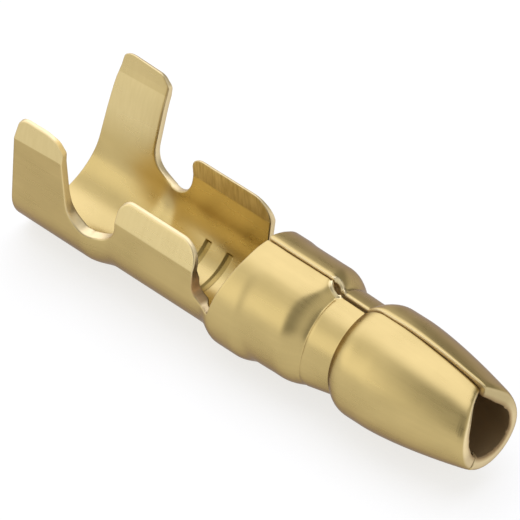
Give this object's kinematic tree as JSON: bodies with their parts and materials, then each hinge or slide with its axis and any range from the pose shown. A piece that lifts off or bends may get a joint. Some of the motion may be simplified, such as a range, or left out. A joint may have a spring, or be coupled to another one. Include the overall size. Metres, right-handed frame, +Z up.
{
  "type": "round crimp connector",
  "caption": "Male bullet crimp terminal rolled from brass sheet: hollow plug with an olive head, seam and open nose, conductor wings, and taller flared insulation ears.",
  "frame": {"origin": "on the plug's axis, at the middle of the head's widest land", "axes": "+X along the plug towards its open nose, +Z up through the seam and between the ears"},
  "size_m": [0.0191, 0.0054, 0.0057],
  "materials": {
    "brass": "bright, as rolled"
  },
  "bodies": {
    "root": {"bullet_terminal": "brass"}
  },
  "joints": []
}
